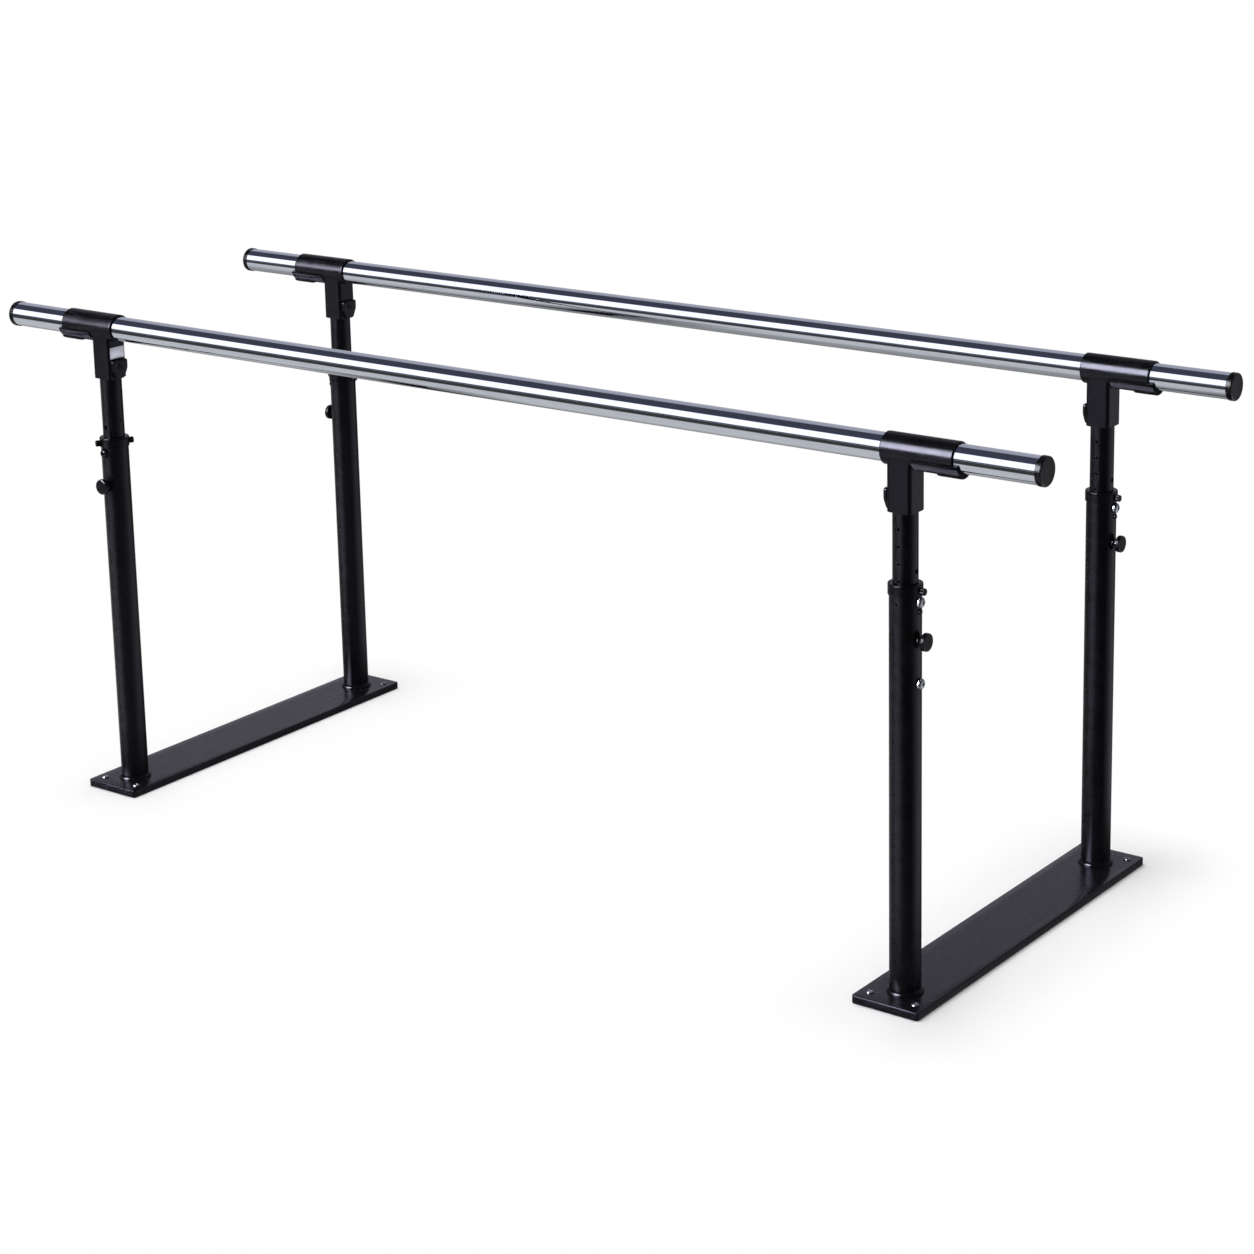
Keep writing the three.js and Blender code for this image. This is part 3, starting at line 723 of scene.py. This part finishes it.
def bracket_pattern(has_window):
    """Cast bracket: the outer form is blended by a fine remesh, then bored for the rail and the post."""
    length, middle = SADDLE_OUT + SADDLE_IN, (SADDLE_OUT - SADDLE_IN) / 2
    outer = RAIL_RADIUS + SLIDE_GAP + SADDLE_WALL
    bracket = rod("bracket_pattern", outer, length, (middle, 0, RAIL_HEIGHT), ALONG_X, TUBE_SIDES)
    spare = 20 * MM
    under = SADDLE_OUT - SADDLE_RING_END + spare
    opening = block("opening", (under, 4 * spare, 2 * spare),
                    (SADDLE_RING_END + under / 2, 0, RAIL_HEIGHT - SADDLE_EDGE_DROP - spare))
    combine(bracket, opening, "DIFFERENCE")
    tall = SOCKET_DROP - SOCKET_TOP_DROP
    socket = block("socket", (2 * SOCKET_HALF, 2 * SOCKET_HALF, tall),
                   (0, 0, RAIL_HEIGHT - SOCKET_DROP + tall / 2), corner=SOCKET_CORNER)
    combine(bracket, socket, "UNION")
    apply(bracket, "REMESH", mode="VOXEL", voxel_size=CAST_CELL)
    apply(bracket, "SMOOTH", factor=0.5, iterations=CAST_SMOOTHING)
    rail_bore(bracket)
    post_bore = rod("bore", INNER_RADIUS + SLIDE_GAP, CUTTER,
                    (0, 0, POST_HIGH.z + SLIDE_GAP - CUTTER / 2), sides=TUBE_SIDES)
    combine(bracket, post_bore, "DIFFERENCE")
    side_hole(bracket, LUG_HOLE, 180, LUG_HEIGHT)
    if has_window:
        window = block("window", (WINDOW_DEPTH, WINDOW_WIDTH, WINDOW_HEIGHT),
                       (-WINDOW_DEPTH / 2, 0, RAIL_HEIGHT - WINDOW_DROP))
        combine(bracket, window, "DIFFERENCE")
    apply(bracket, "DECIMATE", ratio=CAST_KEPT)
    return smooth(bracket, 40)


def shim_pattern():
    """Strip of bare rolled steel against the post, seen in the socket's window."""
    thickness = 1 * MM
    place = (-INNER_RADIUS - SLIDE_GAP - thickness / 2, 0, RAIL_HEIGHT - WINDOW_DROP)
    size = (thickness, WINDOW_WIDTH - 2 * SLIDE_GAP, WINDOW_HEIGHT - 2 * SLIDE_GAP)
    strip = block("shim_pattern", size, place)
    soften(strip, 0.2 * MM, 2)
    return smooth(strip)


# Clamp jaws under the saddles, and lugs on the sockets

JAW_PAST_SADDLE = 8 * MM
JAW_RADIUS = 25 * MM
JAW_CENTRE_DROP = 2.2 * MM
PAD_RADIUS = 27.4 * MM
PAD_LENGTH = 37 * MM
PAD_WIDTH = 32 * MM
LUG_WIDTH = 35 * MM
LUG_TOP = 12 * MM
LUG_STRAIGHT = 16 * MM
LUG_TAPER = 17.5 * MM
LUG_THICKNESS = 6 * MM
LUG_CORNER = 4 * MM
LUG_SHANK = 3 * MM
LUG_SCREW = 5.5 * MM
LUG_SCREW_TOP = 7.8 * MM


def jaw_pattern():
    """Clamp jaw: thick crescent under the rail with a thicker pad at its outer end."""
    start, end = SADDLE_RING_END + SLIDE_GAP, SADDLE_OUT + JAW_PAST_SADDLE
    centre, pad_middle = RAIL_HEIGHT - JAW_CENTRE_DROP, end - PAD_LENGTH / 2
    jaw = rod("jaw_pattern", JAW_RADIUS, end - start, ((start + end) / 2, 0, centre), ALONG_X, TUBE_SIDES)
    pad = rod("pad", PAD_RADIUS, PAD_LENGTH, (pad_middle, 0, centre), ALONG_X, TUBE_SIDES)
    stretch = block("stretch", (2 * PAD_LENGTH, PAD_WIDTH, 2 * JAW_RADIUS),
                    (pad_middle, 0, centre - JAW_RADIUS))
    combine(pad, stretch, "INTERSECT")
    soften(pad, 1.5 * MM, 4, 40)
    combine(jaw, pad, "UNION")
    bottom = RAIL_HEIGHT - SADDLE_EDGE_DROP - SLIDE_GAP
    above = block("above", (CUTTER, CUTTER, CUTTER), (0, 0, bottom + CUTTER / 2))
    combine(jaw, above, "DIFFERENCE")
    rail_bore(jaw)
    soften(jaw, 0.9 * MM, 3, 35)
    return smooth(jaw)


def lug_pattern():
    """Shield-shaped pad with a socket screw, on the socket's inner face."""
    rise = LUG_THICKNESS / 2
    lug = block("lug_pattern", (LUG_WIDTH, LUG_STRAIGHT, LUG_THICKNESS),
                (0, LUG_TOP - LUG_STRAIGHT / 2, rise))
    choose(lug, "polygons", lambda side: side.normal.y < -0.9)
    bpy.ops.mesh.extrude_region_move()
    bpy.ops.transform.translate(value=(0, -LUG_TAPER, 0))
    bpy.ops.transform.resize(value=(0.5, 1, 1))
    bpy.ops.object.mode_set(mode="OBJECT")
    round_upright_edges(lug, LUG_CORNER, 8)
    soften(lug, 1.4 * MM, 4, 35)
    screw = turned("screw", [
        (LUG_SCREW, rise), (LUG_SCREW, LUG_SCREW_TOP - 0.6 * MM), (LUG_SCREW - 0.6 * MM, LUG_SCREW_TOP),
    ], 48)
    hexagon_socket(screw, 2.6 * MM, LUG_SCREW_TOP, 1.5 * MM)
    combine(lug, screw, "UNION")
    shank = rod("shank", LUG_SHANK, 8 * MM, (0, 0, -2 * MM))
    combine(lug, shank, "UNION")
    settle(lug, turn=(0, 0, -90))
    settle(lug, (-SOCKET_HALF - SLIDE_GAP, 0, LUG_HEIGHT), (0, -90, 0))
    return smooth(lug)


# All that stands at the posts

def put(name, pattern, kind, node, slot, *materials, turn=0, height=0):
    """A copy of a pattern at the post of a name, shown in the stead of that post's node."""
    piece = to_corner(pattern, f"{kind}_{name}", POSTS[name], turn, height)
    stand_for(piece, f"{node}_{name}", slot, *materials)


def post_sets():
    """Everything that repeats at the four posts: each kind is modelled once and copied to its posts."""
    lower = {"near_right": lower_post_pattern(True, True), "far_right": lower_post_pattern(True, False)}
    lower["near_left"] = lower["far_left"] = lower_post_pattern(False, False)
    inner = {"near_left": inner_post_pattern(has_face_mark=True, hole_turn=90)}
    inner["far_left"] = inner_post_pattern()
    inner["near_right"] = inner["far_right"] = inner_post_pattern(has_marks=True)
    collar = {screws: collar_pattern(screws) for screws in (("outer",), ("outer", "inner"))}
    bracket = {has_window: bracket_pattern(has_window) for has_window in (True, False)}
    bush, bolt, pin, thumb = bush_pattern(), bolt_pattern(), pin_pattern(), thumb_screw_pattern()
    shim, jaw, lug = shim_pattern(), jaw_pattern(), lug_pattern()
    for name, post in POSTS.items():
        turn = post.turn
        put(name, lower[name], "outer_tube", "lower_post", "powder_coat", turn=turn)
        put(name, collar[post.screws], "collar", "post_collar", "powder_coat", turn=post.collar_turn)
        put(name, bush, "sleeve", "guide_bush", "bush_plastic", BUSH, turn=turn)
        fastener = ZINC if post.end > 0 else BRACKET_COAT
        put(name, bolt, "bolt", "post_bolt", "zinc_screw", fastener, turn=turn, height=BOLT_HEIGHT)
        if post.low_bolt:
            put(name, bolt, "low_bolt", "lower_bolt", "zinc_screw", ZINC, turn=turn, height=LOWER_BOLT_HEIGHT)
        put(name, pin, "pull_pin", "lock_pin", "knob_plastic", turn=turn, height=PIN_HEIGHT)
        for where in post.screws:
            about = post.collar_turn + (0 if where == "outer" else 180)
            put(name, thumb, f"thumb_screw_{where}", f"collar_screw_{where}", "knob_plastic", KNOB,
                turn=about, height=SCREW_HEIGHT)
        put(name, inner[name], "inner_tube", "inner_post", "powder_coat", POST_COAT)
        put(name, bracket[post.window], "bracket", "rail_bracket", "bracket_black", BRACKET_COAT)
        if post.window:
            put(name, shim, "steel_shim", "socket_shim", "bare_steel", STEEL)
        put(name, jaw, "jaw", "clamp_jaw", "bracket_black", JAW_COAT)
        put(name, lug, "lug", "clamp_lug", "bracket_black", BRACKET_COAT)
    used = [*lower.values(), *inner.values(), *collar.values(), *bracket.values()]
    for pattern in dict.fromkeys([*used, bush, bolt, pin, thumb, shim, jaw, lug]):
        bpy.data.objects.remove(pattern)


# Handrails and their caps

CAP_RADIUS = 22.3 * MM
CAP_DEPTH = 11 * MM
PLUG_LENGTH = 22 * MM
RIM_WIDTH = 2.5 * MM


def handrails():
    """Two polished tubes with a cap at each end."""
    rail = turned("rail_pattern", [
        (RAIL_BORE, -RAIL_HALF), (RAIL_RADIUS - TUBE_EDGE, -RAIL_HALF), (RAIL_RADIUS, -RAIL_HALF + TUBE_EDGE),
        (RAIL_RADIUS, RAIL_HALF - TUBE_EDGE), (RAIL_RADIUS - TUBE_EDGE, RAIL_HALF), (RAIL_BORE, RAIL_HALF),
        (RAIL_BORE, -RAIL_HALF),
    ], 128, ring=True)
    settle(rail, turn=ALONG_X)
    smooth(rail)
    cap = cap_pattern()
    for side_name, side in (("near", -1), ("far", 1)):
        piece = copy_of(rail, f"rail_{side_name}", (0, side * POST_Y, RAIL_HEIGHT))
        stand_for(piece, f"handrail_{side_name}", "rail_chrome", CHROME)
        for end_name, end, turn in (("left", -1, 180), ("right", 1, 0)):
            place = (end * RAIL_HALF, side * POST_Y, RAIL_HEIGHT)
            twin = copy_of(cap, f"cap_{side_name}_{end_name}", place, (0, 0, turn))
            stand_for(twin, f"end_cap_{side_name}_{end_name}", "cap_plastic")
    for pattern in (rail, cap):
        bpy.data.objects.remove(pattern)


def cap_pattern():
    """Push-in end cap: domed head with a rounded rim, plug inside the tube; the tube's end is at zero."""
    plug, head, face_at = RAIL_BORE - SLIDE_GAP, CAP_RADIUS, CAP_DEPTH
    cap = turned("cap_pattern", [
        (plug - 1.5 * MM, -PLUG_LENGTH), (plug, 1.5 * MM - PLUG_LENGTH), (plug, SLIDE_GAP),
        (head - 0.4 * MM, SLIDE_GAP), (head, 0.4 * MM + SLIDE_GAP), (head, face_at - 3.1 * MM),
        (head - 0.3 * MM, face_at - 2.1 * MM), (head - 1.1 * MM, face_at - 1.3 * MM),
        (head - 2.4 * MM, face_at - 0.9 * MM), (head - 6 * MM, face_at - 0.5 * MM),
        (head - 12 * MM, face_at - 0.2 * MM), (4 * MM, face_at),
    ], 96)
    settle(cap, turn=ALONG_X)

    def is_rim(face):
        reach = math.hypot(face.center.y, face.center.z)
        return face.center.x > face_at - 3 * MM and reach > head - RIM_WIDTH

    paint(cap, [CAP, RIM], is_rim)
    return smooth(cap, 40)


# Studio

def span(tree, value, low, high, start=0.0, end=1.0):
    """A value that runs smoothly from start to end as another one runs from low to high."""
    sockets = {"Value": value, "From Min": low, "From Max": high, "To Min": start, "To Max": end}
    return add(tree, "MapRange", sockets, interpolation_type="SMOOTHSTEP").outputs["Result"]


def maths(tree, operation, *values):
    """A maths operation on one value, or on several, taken in turn."""
    result = values[0]
    for value in values[1:] or (0.0,):
        result = add(tree, "Math", {0: result, 1: value}, operation=operation).outputs["Value"]
    return result


def seen_as(tree, shown, mirrored, even):
    """Light shown to the camera, light that gloss mirrors, and light for everything else."""
    path = add(tree, "LightPath").outputs
    either = maths(tree, "MAXIMUM", path["Is Glossy Ray"], path["Is Transmission Ray"])
    lit = add(tree, "MixShader", {0: either, 1: even, 2: mirrored}).outputs["Shader"]
    mixed = add(tree, "MixShader", {0: path["Is Camera Ray"], 1: lit, 2: shown})
    return mixed.outputs["Shader"]


# What gloss mirrors: brightness across the walkway, first of the floor, then of the room above it
FLOOR_STRIPES = [(0.0, grey(1.0)), (0.002, grey(0.07)), (0.454, grey(0.07)), (0.46, grey(0.85)),
                 (0.494, grey(0.85)), (0.502, grey(0.5)), (0.515, grey(0.42)), (0.555, grey(0.09))]
DARK_ROOM = (0.034, 0.036, 0.052, 1)
BRIGHT_ROOM = (0.92, 0.92, 1.0, 1)
PALE_BACK = (0.25, 0.25, 0.29, 1)
ROOM_BANDS = [(0.0, DARK_ROOM), (0.03, DARK_ROOM), (0.055, BRIGHT_ROOM), (0.29, BRIGHT_ROOM),
              (0.311, DARK_ROOM), (0.622, DARK_ROOM), (0.655, PALE_BACK)]
ROOM_STRENGTH = 2.2
SOFTBOX_WHITE = (0.92, 0.92, 1.0, 1)
# Softboxes, in degrees right of the front: where the left edge is dark and full, then the right; strength
SOFTBOXES = [(-50, -34, -8, -14, 180.0)]
# Their elevations, from dark to full at the lower and at the upper edge
SOFTBOX_FOOT = (8, 12)
SOFTBOX_TOP = (45, 41)
# In the same way, what the floor throws on of the softbox and of a bright wall on the right
FLOOR_SHINES = [(-60, -35, 6, -12, 3.4), (68, 116, 175, 130, 2.5)]
# The ceiling's brightness falls to DIM_SHARE right of the front, but not behind the stand
DIM_AZIMUTHS = (-15, 5)
DIM_SHARE = 0.07
BACK_RISE = (52, 56)
DAYLIGHT = 0.45
FLOOR_RADIUS = 40
FLOOR_DROP = 0.6 * MM
# The floor's stripes are placed from this far in front of the middle to as far behind it
STRIPE_REACH = 20.0
# Distances from a plate over which its shade fades out, and over which what the floor mirrors and throws on
# fades in; the dimmer mirrored floor near the plates is painted shade of the stand
SHADE_FADE = (0.01, 0.18)
STRIPE_FADE = (0.0, 0.3)
SHINE_FADE = (0.02, 0.35)
# Past the right-hand posts the stripes fall off to a tenth
RIGHT_FADE = (0.9, 1.3)


def soft_light(tree, azimuth, boxes, height):
    """Summed strength of softboxes seen at an azimuth, each with soft edges; none for a sharp mirror."""
    total = 0.0
    for left_dark, left_full, right_dark, right_full, power in boxes:
        width = maths(tree, "MULTIPLY", span(tree, azimuth, left_dark, left_full),
                      span(tree, azimuth, right_dark, right_full))
        total = maths(tree, "ADD", total, maths(tree, "MULTIPLY", width, power))
    blurred = maths(tree, "SUBTRACT", 1.0, add(tree, "LightPath").outputs["Is Singular Ray"])
    return maths(tree, "MULTIPLY", total, blurred, height)


def from_plates(tree, x, y):
    """Distance of a place on the floor from the nearer base plate."""
    half = PLATE_SIZE / 2
    beside = maths(tree, "ABSOLUTE", maths(tree, "SUBTRACT", maths(tree, "ABSOLUTE", x), POST_X))
    beside = maths(tree, "MAXIMUM", maths(tree, "SUBTRACT", beside, half.x), 0.0)
    beyond = maths(tree, "MAXIMUM", maths(tree, "SUBTRACT", maths(tree, "ABSOLUTE", y), half.y), 0.0)
    away = add(tree, "CombineXYZ", {"X": beside, "Y": beyond}).outputs["Vector"]
    return add(tree, "VectorMath", {0: away}, operation="LENGTH").outputs["Value"]


def floor_in_gloss(tree, x, y, away):
    """What gloss mirrors of the floor: its stripes, and the softboxes' light that it throws on."""
    across = add(tree, "MapRange", {"Value": y, "From Min": -STRIPE_REACH, "From Max": STRIPE_REACH})
    stripes = add(tree, "ValToRGB", {"Fac": across.outputs["Result"]}, stops=FLOOR_STRIPES).outputs["Color"]
    # Painted shade: near the plates the stripes and the thrown-on softbox light are dimmed, in place of the
    # stand's shadow on the floor
    strength = maths(tree, "MULTIPLY", span(tree, x, *RIGHT_FADE, 1.0, 0.1),
                     span(tree, away, *STRIPE_FADE, 0.4, 1.0))
    striped = add(tree, "Emission", {"Color": stripes, "Strength": strength}).outputs["Emission"]
    incoming = add(tree, "NewGeometry").outputs["Incoming"]
    back_x, back_y, _ = add(tree, "SeparateXYZ", {"Vector": incoming}).outputs
    azimuth = maths(tree, "DEGREES", maths(tree, "ARCTAN2", maths(tree, "MULTIPLY", back_x, -1.0), back_y))
    strength = soft_light(tree, azimuth, FLOOR_SHINES, span(tree, away, *SHINE_FADE))
    shine = add(tree, "Emission", {"Color": SOFTBOX_WHITE, "Strength": strength}).outputs["Emission"]
    return add(tree, "AddShader", {0: striped, 1: shine}).outputs["Shader"]


def studio_floor():
    """White floor: it takes the stand's soft shade near the plates and is plain white further out."""
    floor = begin("studio_floor", bpy.ops.mesh.primitive_circle_add, vertices=96, radius=FLOOR_RADIUS,
                  fill_type="NGON", location=(0, 0, -FLOOR_DROP))
    material, tree, place = new_material("studio_floor_white")
    x, y, _ = add(tree, "SeparateXYZ", {"Vector": place}).outputs
    away = from_plates(tree, x, y)
    shaded = add(tree, "BsdfDiffuse", {"Color": grey(1.0)}).outputs["BSDF"]
    white = add(tree, "Emission", {"Color": grey(1.0)}).outputs["Emission"]
    shown = add(tree, "MixShader", {0: span(tree, away, *SHADE_FADE), 1: shaded, 2: white}).outputs["Shader"]
    whole = seen_as(tree, shown, floor_in_gloss(tree, x, y, away), shaded)
    add(tree, "OutputMaterial", {"Surface": whole})
    floor.data.materials.append(material)


def studio_world():
    """White to the camera, even daylight, and in gloss a bright front, a dark ceiling and a pale back."""
    world = bpy.data.worlds.new("studio_world")
    bpy.context.scene.world = world
    world.use_nodes = True
    tree = world.node_tree
    tree.nodes.clear()
    x, y, z = add(tree, "SeparateXYZ", {"Vector": add(tree, "TexCoord").outputs["Generated"]}).outputs
    front = maths(tree, "MULTIPLY", y, -1.0)
    rise = maths(tree, "ARCTAN2", z, front)
    azimuth = maths(tree, "DEGREES", maths(tree, "ARCTAN2", x, front))
    elevation = maths(tree, "DEGREES", maths(tree, "ARCSINE", z))
    share = add(tree, "MapRange", {"Value": rise, "From Min": 0.0, "From Max": math.pi}).outputs["Result"]
    bands = add(tree, "ValToRGB", {"Fac": share}, stops=ROOM_BANDS).outputs["Color"]
    dim = span(tree, azimuth, *DIM_AZIMUTHS, 1.0, DIM_SHARE)
    behind = span(tree, rise, *map(math.radians, BACK_RISE))
    strength = maths(tree, "MULTIPLY", maths(tree, "MAXIMUM", dim, behind), ROOM_STRENGTH)
    room = add(tree, "Background", {"Color": bands, "Strength": strength}).outputs["Background"]
    height = maths(tree, "MULTIPLY", span(tree, elevation, *SOFTBOX_FOOT),
                   span(tree, elevation, *SOFTBOX_TOP))
    strength = soft_light(tree, azimuth, SOFTBOXES, height)
    shine = add(tree, "Background", {"Color": SOFTBOX_WHITE, "Strength": strength}).outputs["Background"]
    room = add(tree, "AddShader", {0: room, 1: shine}).outputs["Shader"]
    even = add(tree, "Background", {"Color": grey(1.0), "Strength": DAYLIGHT}).outputs["Background"]
    white = add(tree, "Background", {"Color": grey(1.0)}).outputs["Background"]
    add(tree, "OutputWorld", {"Surface": seen_as(tree, white, room, even)})


# The one lamp: where it hangs, its size and its power in watts
LAMP_PLACE = Vector((-0.6, -0.4, 4.2))
LAMP_SIZE = (4.5, 3.5)
LAMP_POWER = 140


def studio_lamp():
    """A large soft lamp overhead, aimed at the middle of the floor and not mirrored."""
    data = bpy.data.lights.new("overhead_softbox", "AREA")
    data.shape = "RECTANGLE"
    data.size, data.size_y = LAMP_SIZE
    data.energy = LAMP_POWER
    lamp = bpy.data.objects.new("overhead_softbox", data)
    lamp.location = LAMP_PLACE
    lamp.rotation_euler = (-LAMP_PLACE).to_track_quat("-Z", "Y").to_euler()
    lamp.visible_glossy = False
    bpy.context.scene.collection.objects.link(lamp)


# The camera: where it stands, and its turns in degrees
CAMERA_PLACE = (2.9507, -3.7999, 1.9010)
CAMERA_AZIMUTH = 36.931
CAMERA_ELEVATION = 13.211
CAMERA_ROLL = 1.241
# The photograph's width, the focal length and the row of the optical centre, in its pixels
PHOTO_PIXELS = 1254
FOCAL_PIXELS = 2951.3
CENTRE_ROW = 389
SENSOR_WIDTH = 36


def studio_camera():
    """The camera of the photograph, with its optical centre above the middle of the picture."""
    data = bpy.data.cameras.new("photo_camera")
    camera = bpy.data.objects.new("photo_camera", data)
    bpy.context.scene.collection.objects.link(camera)
    bpy.context.scene.camera = camera
    data.sensor_width = SENSOR_WIDTH
    data.lens = FOCAL_PIXELS / PHOTO_PIXELS * SENSOR_WIDTH
    data.shift_y = (CENTRE_ROW - PHOTO_PIXELS / 2) / PHOTO_PIXELS
    azimuth, elevation, roll = map(math.radians, (CAMERA_AZIMUTH, CAMERA_ELEVATION, CAMERA_ROLL))
    level = math.cos(elevation)
    back = Vector((math.sin(azimuth) * level, -math.cos(azimuth) * level, math.sin(elevation)))
    right = (-back).cross(Vector((0, 0, 1))).normalized()
    up = back.cross(right)
    rolled_right = right * math.cos(roll) - up * math.sin(roll)
    rolled_up = right * math.sin(roll) + up * math.cos(roll)
    axes = Matrix((rolled_right, rolled_up, back)).transposed()
    camera.matrix_world = Matrix.Translation(CAMERA_PLACE) @ axes.to_4x4()


studio_camera()
base_plates()
post_sets()
handrails()
studio_floor()
studio_world()
studio_lamp()
bpy.context.scene.view_settings.view_transform = "Standard"
